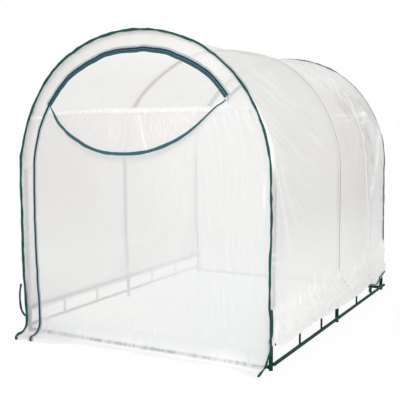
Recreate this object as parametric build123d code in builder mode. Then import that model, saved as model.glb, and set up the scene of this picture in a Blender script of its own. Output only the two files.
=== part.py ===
from build123d import *
import os
from math import asin, cos, degrees, radians, sin, sqrt

# A walk-in polytunnel greenhouse. Three steel hoops stand in sockets on a low base frame, and one
# sheet of film goes over them, with a zipped door panel in the front and a plain panel at the back.
# The tunnel runs along Y, its front faces -Y, and Z = 0 is the ground. All sizes are in millimetres.

# ---- Overall sizes -------------------------------------------------------------------------------
half_width = 900.0          # middle of the tunnel to a hoop leg's centreline
spring_height = 1085.0      # ground to where the crown of a hoop starts to curve
bay_length = 1220.0         # hoop to hoop

# ---- Steel frame ---------------------------------------------------------------------------------
hoop_diameter = 22.0
crown_sides = 8             # the bent tube of a crown is made with this many flats
post_height = 178.0
socket_depth = 130.0        # how far a hoop leg goes into its post
socket_clearance = 0.3      # all round a leg, and under it
socket_wall = 1.4
rail_diameter = 22.0
rail_clearance = 0.3        # side rail to post, and rail end to rail end
rail_overhang = 8.0         # side rail past the centre of a corner post
lower_rail_height = 42.0
upper_rail_height = 160.0
rung_diameter = 14.0
rung_sides = 8
rungs_per_bay = 2
weld_gap = 0.1              # rung end, shaped to its rail
end_rail_height = 18.0      # front and back rails, close to the ground

# ---- Film ----------------------------------------------------------------------------------------
film_thickness = 2.0
film_gap = 0.6              # hoop to film
seam_gap = 0.3              # between the edges of two sheets that are sewn or zipped together
roof_panels = 6
hem_drop = 32.0             # middle of the upper rail down to the bottom edge of the side walls
hem_shoulder_gap = 1.0      # top of the upper rail to where the side walls hang straight down
flare_height = 420.0        # where the side walls start to lean out over the side rails
skirt_bend = 32.0           # radius of the bend where an end panel turns out onto the ground
skirt_reach = 150.0         # how far the skirt lies out in front of its panel

# ---- Door, vent flap and zip ---------------------------------------------------------------------
door_inset = 111.6          # edge of the front panel to the door's zip
seam_rise = 415.0           # crown's axis up to the welded seam that the vent flap folds down along
zip_end_angle = 37.7        # where the zip stops, up from the right-hand end of the crown
surround_sectors = 4
zip_band = 13.0             # closed zip
open_zip_band = 30.0        # zip tape and facing along the open vent
zip_thickness = 2.5
flap_roll = 14.0            # radius of the soft fold at the top of the flap
flap_rise = 12.0            # seam to the start of that fold
flap_drop = 266.0           # start of the fold to the lowest point of the flap
flap_bulge = 52.0           # how far the flap's lower edge stands out from its fold
flap_clearance = 19.7       # top corner of the flap to the zip beside it
binding_width = 18.0
binding_thickness = 4.0

# ---- Piping, ties and slider ---------------------------------------------------------------------
piping_diameter = 12.0
piping_sides = 6
piping_gap = 0.3
tail_diameter = 8.0
tail_offset = 24.0          # tail's centreline outside the piping's
tail_bend = 13.0
front_tail_root = 150.0     # height where the front tail leaves the piping
front_tail_top = 330.0
rear_tail_root = 165.0
rear_tail_run = 230.0       # how far the rear tail reaches forward along its rail
rear_tail_landing = 120.0   # how far forward it comes down onto that rail
tie_width = 18.0
tie_thickness = 1.8
tie_sides = 8
tie_heights = (620.0, 830.0)
slider_length = 24.0
slider_width = 12.0
slider_thickness = 6.0
slider_taper = 80.0         # angle between the wide end and a side
slider_corner = 1.5
pull_width = 6.0
pull_length = 30.0
pull_thickness = 1.6

# ---- Worked out from the sizes above -------------------------------------------------------------
hoop_radius = hoop_diameter / 2
post_radius = hoop_radius + socket_clearance + socket_wall
rail_radius = rail_diameter / 2
piping_radius = piping_diameter / 2
piping_side = piping_radius * cos(radians(180 / piping_sides))    # centre to a flat, sideways
half_length = bay_length                                  # middle hoop to an end hoop
hoop_places = {"front": -half_length, "middle": 0.0, "rear": half_length}
sides = {"left": -1, "right": 1}
end_places = {"front": -1, "rear": 1}

film_inner = half_width + hoop_radius + film_gap          # inside of the film over the crown
film_outer = film_inner + film_thickness
panel_edge = film_inner - seam_gap                        # outer edge of the two end panels
panel_inner_face = half_length + max(post_radius, rail_radius) + film_gap
panel_outer_face = panel_inner_face + film_thickness
panel_foot = skirt_bend + film_thickness / 2              # where an end panel meets its skirt

side_rail_x = half_width + post_radius + rail_clearance + rail_radius
wall_foot = side_rail_x + rail_radius + film_gap          # inside of the side wall at its hem
hem_height = upper_rail_height - hem_drop
hem_shoulder_height = upper_rail_height + rail_radius + hem_shoulder_gap
leg_foot = post_height - socket_depth + socket_clearance

seam_height = spring_height + seam_rise
door_radius = panel_edge - door_inset                     # curved top of the zip
edge_seam_angle = degrees(asin(seam_rise / panel_edge))
fold_start = seam_height + flap_rise
flap_top = fold_start + flap_roll + film_thickness
flap_half_span = sqrt((door_radius - open_zip_band / 2) ** 2 - (flap_top - spring_height) ** 2)
flap_half_span -= flap_clearance
zip_face = panel_outer_face + seam_gap                    # zip lies on the outside of the panel

piping_line = film_outer + seam_gap                       # piping's centreline from the middle
piping_face = panel_outer_face + piping_gap + piping_radius
tail_line = piping_line + tail_offset


def crown_point(radius, angle):
    """A point on a circle about the crown's axis, in the plane of an end panel."""
    return (radius * cos(radians(angle)), spring_height + radius * sin(radians(angle)))


def crown_arc(radius, start_angle, end_angle):
    """Arc about the crown's axis through three worked out points."""
    return ThreePointArc(
        crown_point(radius, start_angle),
        crown_point(radius, (start_angle + end_angle) / 2),
        crown_point(radius, end_angle),
    )


def save(piece, name):
    """Label a finished piece and write its file."""
    piece.part.label = name
    export_step(piece.part, f"parts/{name}.step")


os.makedirs("parts", exist_ok=True)

# ---- Hoops: two straight legs and a half-round crown each ----------------------------------------
for place, y in hoop_places.items():
    with BuildPart() as hoop_legs:
        with BuildSketch(Plane.XY.offset(leg_foot)):
            with Locations((-half_width, y), (half_width, y)):
                Circle(hoop_radius)
        extrude(amount=spring_height - leg_foot)
    save(hoop_legs, f"{place}_hoop_legs")

    with BuildPart() as hoop_crown:
        with BuildSketch(Plane.XY.offset(spring_height)):
            with Locations((half_width, y)):
                RegularPolygon(hoop_radius, crown_sides)
        revolve(axis=Axis((0, y, spring_height), (0, -1, 0)), revolution_arc=180)
    save(hoop_crown, f"{place}_hoop_crown")

# ---- Base posts: a solid foot below, a socket for the hoop leg above -----------------------------
for side, sign in sides.items():
    with BuildPart() as base_posts:
        with BuildSketch():
            with Locations(*[(sign * half_width, y) for y in hoop_places.values()]):
                Circle(post_radius)
        extrude(amount=post_height)
        with BuildSketch(Plane.XY.offset(post_height)):
            with Locations(*[(sign * half_width, y) for y in hoop_places.values()]):
                Circle(hoop_radius + socket_clearance)
        extrude(amount=-socket_depth, mode=Mode.SUBTRACT)
    save(base_posts, f"{side}_base_posts")

# ---- Side frames: two rails with rungs welded between, one frame to a bay, outside the posts ------
rung_spacing = bay_length / (rungs_per_bay + 1)
side_rail_length = bay_length + rail_overhang - rail_clearance / 2
for side, sign in sides.items():
    rail_centres = [(sign * side_rail_x, lower_rail_height), (sign * side_rail_x, upper_rail_height)]
    for place, end_sign in end_places.items():
        rail_plane = Plane.XZ.offset(-end_sign * rail_clearance / 2)
        rung_centres = [
            (sign * side_rail_x, end_sign * rung_spacing * (i + 1)) for i in range(rungs_per_bay)
        ]
        with BuildPart() as side_frame:
            with BuildSketch(Plane.XY.offset(lower_rail_height)):
                with Locations(*rung_centres):
                    RegularPolygon(rung_diameter / 2, rung_sides)
            extrude(amount=upper_rail_height - lower_rail_height)
            with BuildSketch(rail_plane):
                with Locations(*rail_centres):
                    Circle(rail_radius + weld_gap)
            extrude(amount=-end_sign * side_rail_length, mode=Mode.SUBTRACT)
            with BuildSketch(rail_plane):
                with Locations(*rail_centres):
                    Circle(rail_radius)
            extrude(amount=-end_sign * side_rail_length)
        save(side_frame, f"{side}_{place}_side_frame")

# ---- End rails: from post to post, low down ------------------------------------------------------
end_rail_half_length = half_width - post_radius - rail_clearance
for place, end_sign in end_places.items():
    with BuildPart() as end_rail:
        with BuildSketch(Plane.YZ.offset(-end_rail_half_length)):
            with Locations((end_sign * half_length, end_rail_height)):
                Circle(rail_radius)
        extrude(amount=2 * end_rail_half_length)
    save(end_rail, f"{place}_base_rail")

# ---- Cover: two side walls that lean out over the rails, and the roof in curved panels ------------
for side, sign in sides.items():
    with BuildPart() as side_wall:
        with BuildSketch(Plane.XZ.offset(-panel_outer_face)):
            with BuildLine():
                Polyline(
                    (sign * film_inner, spring_height),
                    (sign * film_inner, flare_height),
                    (sign * wall_foot, hem_shoulder_height),
                    (sign * wall_foot, hem_height),
                    (sign * (wall_foot + film_thickness), hem_height),
                    (sign * (wall_foot + film_thickness), hem_shoulder_height),
                    (sign * film_outer, flare_height),
                    (sign * film_outer, spring_height),
                    close=True,
                )
            make_face()
        extrude(amount=2 * panel_outer_face)
    save(side_wall, f"cover_{side}_wall")

roof_step = 180 / roof_panels
for i in range(roof_panels):
    start_angle = 180 - i * roof_step
    end_angle = start_angle - roof_step
    with BuildPart() as roof_panel:
        with BuildSketch(Plane.XZ.offset(-panel_outer_face)):
            with BuildLine():
                outer_arc = crown_arc(film_outer, start_angle, end_angle)
                inner_arc = crown_arc(film_inner, end_angle, start_angle)
                Line(outer_arc @ 1, inner_arc @ 0)
                Line(inner_arc @ 1, outer_arc @ 0)
            make_face()
        extrude(amount=2 * panel_outer_face)
    save(roof_panel, f"cover_roof_{i + 1}")

# ---- Front panel: the surround outside the zip, in straight and curved lengths --------------------
front_plane = Plane.XZ.offset(panel_inner_face)
door_edge = door_radius + seam_gap / 2                    # surround's side of the zip

with BuildPart() as surround_left:
    with BuildSketch(front_plane):
        with Locations((-panel_edge, panel_foot)):
            Rectangle(panel_edge - door_edge, spring_height - panel_foot, align=(Align.MIN, Align.MIN))
    extrude(amount=film_thickness)
save(surround_left, "front_surround_left")

surround_step = (180 - zip_end_angle) / surround_sectors
for i in range(surround_sectors):
    start_angle = 180 - i * surround_step
    end_angle = start_angle - surround_step
    with BuildPart() as surround_top:
        with BuildSketch(front_plane):
            with BuildLine():
                outer_arc = crown_arc(panel_edge, start_angle, end_angle)
                inner_arc = crown_arc(door_edge, end_angle, start_angle)
                Line(outer_arc @ 1, inner_arc @ 0)
                Line(inner_arc @ 1, outer_arc @ 0)
            make_face()
        extrude(amount=film_thickness)
    save(surround_top, f"front_surround_top_{i + 1}")

surround_seam = seam_height + seam_gap
surround_seam_angle = degrees(asin((seam_rise + seam_gap) / panel_edge))
with BuildPart() as surround_right:
    with BuildSketch(front_plane):
        with BuildLine():
            edge_arc = crown_arc(panel_edge, surround_seam_angle, zip_end_angle)
            side_line = Line(edge_arc @ 1, crown_point(door_edge, zip_end_angle))
            foot = (door_edge * cos(radians(zip_end_angle)), surround_seam)
            drop_line = Line(side_line @ 1, foot)
            Line(drop_line @ 1, edge_arc @ 0)
        make_face()
    extrude(amount=film_thickness)
save(surround_right, "front_surround_right")

# ---- Door panel: zipped on its left and over its top, one with the surround on its right ----------
door_side = door_radius - seam_gap / 2
door_top_angle = degrees(asin(seam_rise / door_side))
with BuildPart() as door_panel:
    with BuildSketch(front_plane):
        with BuildLine():
            zip_arc = crown_arc(door_side, 180, 180 - door_top_angle)
            seam_line = Line(zip_arc @ 1, crown_point(panel_edge, edge_seam_angle))
            edge_arc = crown_arc(panel_edge, edge_seam_angle, 0)
            Polyline(edge_arc @ 1, (panel_edge, panel_foot), (-door_side, panel_foot), zip_arc @ 0)
        make_face()
    extrude(amount=film_thickness)
save(door_panel, "door_panel")

# ---- Vent flap: the top of the door, unzipped and folded down along the seam, hanging outside -----
flap_arc_radius = (flap_half_span**2 + flap_drop**2) / (2 * flap_drop)
flap_arc_centre = fold_start - flap_drop + flap_arc_radius
panel_mid_face = panel_inner_face + film_thickness / 2
flap_plane = Plane.YZ.offset(-flap_half_span)
flap_reach = 2 * flap_roll + 2 * flap_bulge              # outwards, past the flap's furthest point

with BuildLine() as flap_line:
    rise = Line((-panel_mid_face, seam_height + seam_gap), (-panel_mid_face, fold_start))
    roll = ThreePointArc(
        rise @ 1,
        (-panel_mid_face - flap_roll, fold_start + flap_roll),
        (-panel_mid_face - 2 * flap_roll, fold_start),
    )
    spread = TangentArc(roll @ 1, (roll @ 1) + Vector(-flap_bulge / 2, -flap_drop / 2), tangent=(0, -1))
    TangentArc(spread @ 1, (roll @ 1) + Vector(-flap_bulge, -flap_drop - binding_width),
               tangent=spread % 1)

with BuildPart() as vent_flap:
    with BuildSketch(flap_plane):
        trace(flap_line.line, line_width=film_thickness)
    extrude(amount=2 * flap_half_span)
    with BuildSketch(front_plane):
        with Locations((0, flap_arc_centre)):
            Circle(flap_arc_radius - binding_width)
        with Locations((0, flap_top)):
            Rectangle(2 * flap_half_span, flap_arc_radius, align=(Align.CENTER, Align.MAX),
                      mode=Mode.INTERSECT)
    extrude(amount=flap_reach, mode=Mode.INTERSECT)
save(vent_flap, "vent_flap")

with BuildPart() as flap_binding:
    with BuildSketch(flap_plane):
        trace(flap_line.line, line_width=binding_thickness)
    extrude(amount=2 * flap_half_span)
    with BuildSketch(Plane.XZ.offset(panel_mid_face + flap_roll)):
        with Locations((0, flap_arc_centre)):
            Circle(flap_arc_radius)
            Circle(flap_arc_radius - binding_width + seam_gap, mode=Mode.SUBTRACT)
        with Locations((0, fold_start)):
            Rectangle(2 * flap_half_span, flap_arc_radius, align=(Align.CENTER, Align.MAX),
                      mode=Mode.INTERSECT)
    extrude(amount=flap_reach, mode=Mode.INTERSECT)
save(flap_binding, "flap_binding")

# ---- Rear panel: one plain arched sheet ----------------------------------------------------------
with BuildPart() as rear_panel:
    with BuildSketch(Plane.XZ.offset(-panel_outer_face)):
        with BuildLine():
            crown_edge = crown_arc(panel_edge, 0, 180)
            Polyline(crown_edge @ 1, (-panel_edge, panel_foot), (panel_edge, panel_foot), crown_edge @ 0)
        make_face()
    extrude(amount=film_thickness)
save(rear_panel, "rear_panel")

# ---- Skirts: the foot of each end panel turns out over its base rail and lies on the ground --------
bend_centre = panel_mid_face + skirt_bend
skirt_edge = panel_mid_face + skirt_reach


def skirt_line(end_sign, offset):
    """Side view of a skirt's line, lifted off the film by an offset, from its panel outwards."""
    bend_radius = skirt_bend - offset
    height = film_thickness / 2 + offset
    start = (end_sign * (bend_centre - bend_radius), panel_foot)
    middle = (end_sign * (bend_centre - bend_radius * sin(radians(45))),
              panel_foot - bend_radius * sin(radians(45)))
    bend = ThreePointArc(start, middle, (end_sign * bend_centre, height))
    return bend, Line(bend @ 1, (end_sign * skirt_edge, height))


for place, end_sign in end_places.items():
    with BuildPart() as skirt:
        with BuildSketch(Plane.YZ.offset(-panel_edge)):
            with BuildLine():
                skirt_line(end_sign, 0)
            trace(line_width=film_thickness)
        extrude(amount=2 * panel_edge)
    save(skirt, f"{place}_skirt")

# ---- Piping: sewn into both arched edges, ending along the skirt; one loose tail at each end -------
piping_bend = bend_centre - piping_face                   # radius of its turn onto the skirt
ground_piping_height = panel_foot - piping_bend


def piping_tail(end_sign):
    """Loose end of the piping: up beside the front left foot, forward along the rear right rail."""
    face = end_sign * piping_face
    root = piping_line + piping_side + piping_gap
    if end_sign < 0:
        return [(-root, face, front_tail_root), (-tail_line, face, front_tail_root),
                (-tail_line, face, front_tail_top)]
    rail_lie = lower_rail_height + rail_radius + tail_diameter
    return [(root, face, rear_tail_root), (tail_line, face, rear_tail_root),
            (tail_line, face, rail_lie + 2 * tail_bend),
            (tail_line, face - rear_tail_landing, rail_lie),
            (tail_line, face - rear_tail_run, rail_lie + tail_diameter / 2)]


for place, end_sign in end_places.items():
    face = end_sign * piping_face
    bend_end = end_sign * bend_centre
    middle_drop = piping_bend * sin(radians(45))
    bend_middle_y = end_sign * (bend_centre - middle_drop)
    with BuildPart() as piping:
        with BuildLine() as piping_path:
            left_run = Line((-piping_line, end_sign * skirt_edge, ground_piping_height),
                            (-piping_line, bend_end, ground_piping_height))
            left_bend = ThreePointArc(left_run @ 1,
                                      (-piping_line, bend_middle_y, panel_foot - middle_drop),
                                      (-piping_line, face, panel_foot))
            left_leg = Line(left_bend @ 1, (-piping_line, face, spring_height))
            crown = ThreePointArc(left_leg @ 1, (0, face, spring_height + piping_line),
                                  (piping_line, face, spring_height))
            right_leg = Line(crown @ 1, (piping_line, face, panel_foot))
            right_bend = ThreePointArc(right_leg @ 1,
                                       (piping_line, bend_middle_y, panel_foot - middle_drop),
                                       (piping_line, bend_end, ground_piping_height))
            Line(right_bend @ 1, (piping_line, end_sign * skirt_edge, ground_piping_height))
        with BuildSketch(Plane(origin=left_run @ 0, z_dir=left_run % 0)):
            RegularPolygon(piping_radius, piping_sides)
        sweep(path=piping_path.line)
        with BuildLine() as tail_path:
            FilletPolyline(*piping_tail(end_sign), radius=tail_bend)
        with BuildSketch(Plane(origin=tail_path.line @ 0, z_dir=tail_path.line % 0)):
            RegularPolygon(tail_diameter / 2, piping_sides)
        sweep(path=tail_path.line)
    save(piping, f"{place}_piping")

# ---- Zip: closed up the left side, open along the top of the vent, with its foot on the skirt ------
open_zip_start = 180 - zip_end_angle
with BuildPart() as door_zip:
    with BuildSketch(Plane.XZ.offset(zip_face)):
        with BuildLine():
            side_run = Line((-door_radius, panel_foot), (-door_radius, spring_height))
            crown_arc(door_radius, 180, open_zip_start)
        trace(line_width=zip_band)
        with BuildLine():
            crown_arc(door_radius, open_zip_start, zip_end_angle)
        trace(line_width=open_zip_band)
    extrude(amount=zip_thickness)
    with BuildSketch(Plane.YZ.offset(-door_radius - zip_band / 2)):
        with BuildLine():
            skirt_line(-1, film_thickness / 2 + seam_gap + zip_thickness / 2)
        trace(line_width=zip_thickness)
    extrude(amount=zip_band)
save(door_zip, "door_zip")

# ---- Zip slider: body and pull, parked at the open end --------------------------------------------
slider_plane = Plane.XZ.offset(zip_face + zip_thickness + seam_gap)
slider_place = crown_point(door_radius, zip_end_angle)
with BuildPart() as zip_slider:
    with BuildSketch(slider_plane):
        with Locations(Location(slider_place, zip_end_angle)):
            Trapezoid(slider_width, slider_length, slider_taper)
    extrude(amount=slider_thickness)
    chamfer(zip_slider.edges().filter_by(Axis.Y), length=slider_corner)
    with BuildSketch(slider_plane.offset(slider_thickness)):
        with Locations((slider_place[0], slider_place[1] - pull_length / 2)):
            Rectangle(pull_width, pull_length)
    extrude(amount=pull_thickness)
save(zip_slider, "zip_slider")

# ---- Ties: short bands that hold the film to the legs of the two end hoops, open to its corner -----
tie_inner = hoop_radius + seam_gap
tie_outer = tie_inner + tie_thickness
tie_cut = hoop_radius - seam_gap                          # the band stops short of the film by this
with BuildPart() as hoop_ties:
    for height in tie_heights:
        for end_sign in end_places.values():
            for sign in sides.values():
                x, y = sign * half_width, end_sign * half_length
                with BuildSketch(Plane.XY.offset(height)):
                    with Locations((x, y)):
                        RegularPolygon(tie_outer, tie_sides, major_radius=False)
                        RegularPolygon(tie_inner, tie_sides, major_radius=False, mode=Mode.SUBTRACT)
                    with Locations((x + sign * tie_outer / 2, y + end_sign * tie_outer / 2)):
                        Rectangle(tie_outer, tie_outer, mode=Mode.SUBTRACT)
                    with Locations((x + sign * (tie_cut + tie_outer / 2), y)):
                        Rectangle(tie_outer, 2 * tie_outer, mode=Mode.SUBTRACT)
                    with Locations((x, y + end_sign * (tie_cut + tie_outer / 2))):
                        Rectangle(2 * tie_outer, tie_outer, mode=Mode.SUBTRACT)
                extrude(amount=tie_width)
save(hoop_ties, "hoop_ties")
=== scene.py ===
import math
from types import SimpleNamespace

import bpy
import numpy as np
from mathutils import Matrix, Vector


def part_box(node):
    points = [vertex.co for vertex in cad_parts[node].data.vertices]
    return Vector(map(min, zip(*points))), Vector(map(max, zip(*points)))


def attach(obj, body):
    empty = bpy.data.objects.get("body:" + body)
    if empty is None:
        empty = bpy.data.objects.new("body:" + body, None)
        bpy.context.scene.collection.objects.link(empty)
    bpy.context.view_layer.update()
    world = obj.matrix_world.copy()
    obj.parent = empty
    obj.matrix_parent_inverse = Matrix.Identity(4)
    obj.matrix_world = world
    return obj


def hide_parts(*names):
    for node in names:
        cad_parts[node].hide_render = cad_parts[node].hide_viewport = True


# Polytunnel greenhouse: translucent film over steel hoops, seen from the front right.
# Metres, the frame's axes: the tunnel runs along Y, its front faces -Y, and Z = 0 is the ground.

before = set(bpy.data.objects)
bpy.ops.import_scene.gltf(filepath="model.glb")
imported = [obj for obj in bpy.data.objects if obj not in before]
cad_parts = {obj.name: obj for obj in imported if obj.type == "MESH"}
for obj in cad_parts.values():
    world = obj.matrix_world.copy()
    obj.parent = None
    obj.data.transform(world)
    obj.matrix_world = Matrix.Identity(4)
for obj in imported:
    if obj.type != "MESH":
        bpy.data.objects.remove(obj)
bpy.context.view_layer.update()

# ---- Places taken from the frame -----------------------------------------------------------------
TAU = 2 * math.pi


def low(node):
    """The least x, y and z of a CAD node."""
    return np.array(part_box(node)[0])


def high(node):
    """The greatest x, y and z of a CAD node."""
    return np.array(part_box(node)[1])


SPRING = low("front_hoop_crown")[2]                  # height at which the crown starts to curve
HOOP_X = (low("right_base_posts")[0] + high("right_base_posts")[0]) / 2
HOOP_R = high("front_hoop_crown")[0] - HOOP_X        # radius of the hoop tube
HOOP_Y = {place: (low(f"{place}_hoop_legs")[1] + high(f"{place}_hoop_legs")[1]) / 2
          for place in ("front", "middle", "rear")}
LEG_FOOT = low("front_hoop_legs")[2]
FILM_R = high("cover_roof_3")[2] - SPRING - 0.001    # middle of the cover's film over the crown
WALL_FOOT = high("cover_right_wall")[0] - 0.001      # the same at the hem
HEM = low("cover_right_wall")[2]
FRONT_Y = (low("front_surround_left")[1] + high("front_surround_left")[1]) / 2
REAR_Y = -FRONT_Y
PANEL_R = high("rear_panel")[0]                      # outer edge of the end panels
FOOT_TOP = 0.20                                      # where an end panel starts to turn out as a skirt
TIE_HEIGHTS = (low("hoop_ties")[2] + 0.009, low("hoop_ties")[2] + 0.060)
ZIP_R = (high("door_zip")[2] - SPRING) - 0.015       # middle of the zip
ZIP_END = math.radians(37.7)                         # where the slider is parked, up from the right
SEAM = high("door_panel")[2]
PIPING_R = (high("front_piping")[2] - SPRING) - 0.006
PIPING_Y = FRONT_Y - 0.0073
FLAP_TOP = high("vent_flap")[2]
FLAP_LOW = low("flap_binding")[2]
FRONT, REAR = -1, 1                                  # the ends, by the direction each one faces along Y
LEFT, RIGHT = -1, 1
BACK, UP = (0.0, 1.0, 0.0), (0.0, 0.0, 1.0)


# ---- Shapes worked out on grids ------------------------------------------------------------------
def ramp(value, start, end):
    """0 before start, 1 after end, and a smooth rise between them."""
    t = np.clip((value - start) / (end - start), 0, 1)
    return t * t * (3 - 2 * t)


def fall(value, start, end):
    """1 before start, 0 after end, and a smooth fall between them."""
    return ramp(-value, -end, -start)


def within(value, start, full, fade, end):
    """1 from full to fade, after a smooth rise from start and before a smooth fall to end."""
    return ramp(value, start, full) * fall(value, fade, end)


def peak(value, place, width):
    """A bell curve: 1 at a place, dying away to both sides over about a width."""
    return np.exp(-((value - place) / width) ** 2)


def waves(u, v, seed, across, along):
    """Smooth noise from -1 to 1: random heights on a lattice of across by along cells over the unit
    square, joined by a smooth step both ways."""
    heights = np.random.default_rng(seed).uniform(-1, 1, (across + 2, along + 2))
    a, b = np.clip(u, 0, 1) * across, np.clip(v, 0, 1) * along
    i, j = np.floor(a).astype(int), np.floor(b).astype(int)
    s, t = a - i, b - j
    s, t = s * s * (3 - 2 * s), t * t * (3 - 2 * t)
    near = heights[i, j] * (1 - t) + heights[i, j + 1] * t
    far = heights[i + 1, j] * (1 - t) + heights[i + 1, j + 1] * t
    return near * (1 - s) + far * s


def line_waves(u, seed, cells):
    """The same noise along one line of cells."""
    return waves(u, 0 * u, seed, cells, 1)


def creases(u, v, seed, across, along):
    """Sharp folds from 0 to 1 where smooth noise changes sign, with soft hollows between them."""
    return (1 - np.abs(waves(u, v, seed, across, along))) ** 3


def xyz(x, y, z):
    """Places from their coordinates, each an array or one number for all of them."""
    return np.stack(np.broadcast_arrays(x, y, z), -1)


def stance(points):
    """The tunnel as it stands, off its drawn shape. Each arch is a shift to the left plus a shift along
    the outward direction in proportion to the distance from its centre: the front one is full at its
    shoulders, the middle one bulges at its left shoulder and dips right of its top, and the rear one
    rises. Between arches the shifts blend, and they fade out towards the posts. On the right side the
    front piping is drawn in, most at its foot, and the film behind it stands out a little."""
    x, y, z = np.moveaxis(np.array(points, float), -1, 0)
    above = np.maximum(z - SPRING, 0)
    angle, reach = np.arctan2(above, x), np.hypot(x, above) / FILM_R
    front, rear = fall(y, -1.15, 0.0), ramp(y, 0, 1.15)
    middle = 1 - front - rear
    side = -0.0112 * front - 0.0085 * middle - 0.0145 * rear
    swell = (front * (0.0124 - 0.0109 * np.sin(angle) - 0.0063 * np.cos(4 * angle))
             + rear * (0.0045 + 0.0045 * np.sin(angle) + 0.0055 * np.sin(2 * angle) ** 2)
             + middle * (0.0085 + 0.032 * peak(angle, 2.61, 0.28)
                         - 0.024 * peak(angle, 1.40, 0.30)))
    fade = ramp(z, 0.10, 0.62)
    right = ramp(x, 0.70, 0.88)
    foot = 0.034 * peak(z, 0.020, 0.080) * (1 - 0.45 * fall(y, -1.38, -1.30))
    pull = right * (foot * fall(y, -1.2355, -1.2320)
                    + 0.012 * peak(z, 0.50, 0.32) * fall(y, -1.238, -1.230)
                    - 0.014 * within(z, 0.22, 0.45, 1.30, 1.62)
                    * within(y, -1.236, -1.216, -1.17, -0.95))
    return xyz(x + fade * (side + swell * reach * np.cos(angle)) - pull, y,
               z + fade * swell * reach * np.sin(angle))


def front_lean(z):
    """How far the front hoop stands behind its sockets at a height."""
    return 0.016 * ramp(z, 0.19, 0.55) - 0.010 * ramp(z, 1.25, 1.55)


def unit(vectors):
    """The same directions, each at length 1."""
    return vectors / np.linalg.norm(vectors, axis=1)[:, None]


def running(steps):
    """How far each end of a row of steps lies along it, from 0."""
    return np.concatenate([[0], np.cumsum(steps)])


def carried_frame(path, sideways):
    """Directions out and side for a path, square to it and to each other."""
    tangent = unit(np.gradient(path, axis=0))
    side = unit(np.cross(tangent, sideways))
    return np.cross(side, tangent), side


def new_object(name, data):
    """An object in the scene."""
    thing = bpy.data.objects.new(name, data)
    bpy.context.scene.collection.objects.link(thing)
    return thing


def new_piece(name, verts, faces, material, stands):
    """A smooth mesh piece of one material that rides on the greenhouse, moved to where the tunnel
    stands if stands is true."""
    verts = np.asarray(verts, float).reshape(-1, 3)
    mesh = bpy.data.meshes.new(name)
    mesh.from_pydata((stance(verts) if stands else verts).tolist(), [], faces)
    mesh.polygons.foreach_set("use_smooth", [True] * len(mesh.polygons))
    mesh.materials.append(material)
    mesh.update()
    piece = new_object(name, mesh)
    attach(piece, "root")
    return piece


def grid_faces(rows, columns, around=False):
    """Four-sided faces between neighbouring rows and columns, closed round the columns if asked."""
    index = np.arange(rows * columns).reshape(rows, columns)
    if around:
        index = np.hstack([index, index[:, :1]])
    return np.stack([index[:-1, :-1], index[:-1, 1:], index[1:, 1:], index[1:, :-1]], -1).reshape(-1, 4)


def set_uv(piece, u, v):
    """A UV map from one u and one v for each vertex."""
    mesh = piece.data
    corner = np.zeros(len(mesh.loops), int)
    mesh.loops.foreach_get("vertex_index", corner)
    layer = mesh.uv_layers.new(name="UVMap")
    layer.data.foreach_set("uv", np.stack([u.ravel()[corner], v.ravel()[corner]], -1).ravel())


def set_level(piece, name, value):
    """A named number for each vertex, which a material reads."""
    layer = piece.data.attributes.new(name, "FLOAT", "POINT")
    layer.data.foreach_set("value", np.zeros(len(layer.data)) + np.ravel(value))


def lay_sheet(name, points, material, layers, backed_and_lit, shade=0.0, flip=False, stands=True):
    """A sheet of film on a grid of points, rows by columns. layers says how much film lies there
    above one thickness, as at a hem or a gather; the next level says how far the film is whitened,
    partly by something white right behind it and partly as a painted highlight; and shade says how
    far its colour goes to grey as painted shade, both 0 to 1. Its UV map is in metres along the film."""
    rows, columns = points.shape[:2]
    faces = grid_faces(rows, columns)
    piece = new_piece(name, points, (faces[:, ::-1] if flip else faces).tolist(), material,
                      stands)
    set_level(piece, "layers", layers)
    set_level(piece, "backed_and_lit", np.clip(backed_and_lit, 0, 1))
    set_level(piece, "shade", np.clip(shade, 0, 1))
    across = np.linalg.norm(np.diff(points, axis=1), axis=2).mean(axis=0)
    along = np.linalg.norm(np.diff(points, axis=0), axis=2).mean(axis=1)
    level = np.zeros((rows, columns))
    set_uv(piece, level + running(across), level + running(along)[:, None])
    return piece


def run(name, path, out, side, profile, material, size=1.0, stands=True):
    """A closed profile carried along a path: each point is the path's, plus the profile's first
    number along side and its second along out, both times size there. Both ends are capped."""
    path, out, side = np.broadcast_arrays(path, out, side)
    size = np.broadcast_to(size, (len(path),))[:, None, None]
    grid = (path[:, None] + size * (profile[None, :, :1] * side[:, None]
                                    + profile[None, :, 1:] * out[:, None]))
    rows, columns = grid.shape[:2]
    faces = grid_faces(rows, columns, around=True).tolist()
    faces.append(list(range(columns))[::-1])
    faces.append(list(range((rows - 1) * columns, rows * columns)))
    piece = new_piece(name, grid, faces, material, stands)
    level = np.zeros((rows, columns))
    along = running(np.linalg.norm(np.diff(path, axis=0), axis=1))
    set_uv(piece, level + profile[:, 0], level + along[:, None])
    return piece


def ring(radius, sides):
    """A round profile."""
    angle = np.arange(sides) * TAU / sides
    return np.stack([radius * np.cos(angle), radius * np.sin(angle)], -1)


def band(width, thickness, sides=16):
    """A flat profile with rounded edges: a ring squashed flat, its cosines raised to 0.5 and its sines
    to 0.7 to draw it out towards its corners."""
    angle = np.arange(sides) * TAU / sides
    x = np.sign(np.cos(angle)) * np.abs(np.cos(angle)) ** 0.5
    y = np.sign(np.sin(angle)) * np.abs(np.sin(angle)) ** 0.7
    return np.stack([x * width / 2, y * thickness / 2], -1)


def joined(name, pieces):
    """Several pieces of one material made one object."""
    bpy.ops.object.select_all(action="DESELECT")
    for piece in pieces:
        piece.select_set(True)
    bpy.context.view_layer.objects.active = pieces[0]
    bpy.ops.object.join()
    pieces[0].name = name
    return pieces[0]


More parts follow.
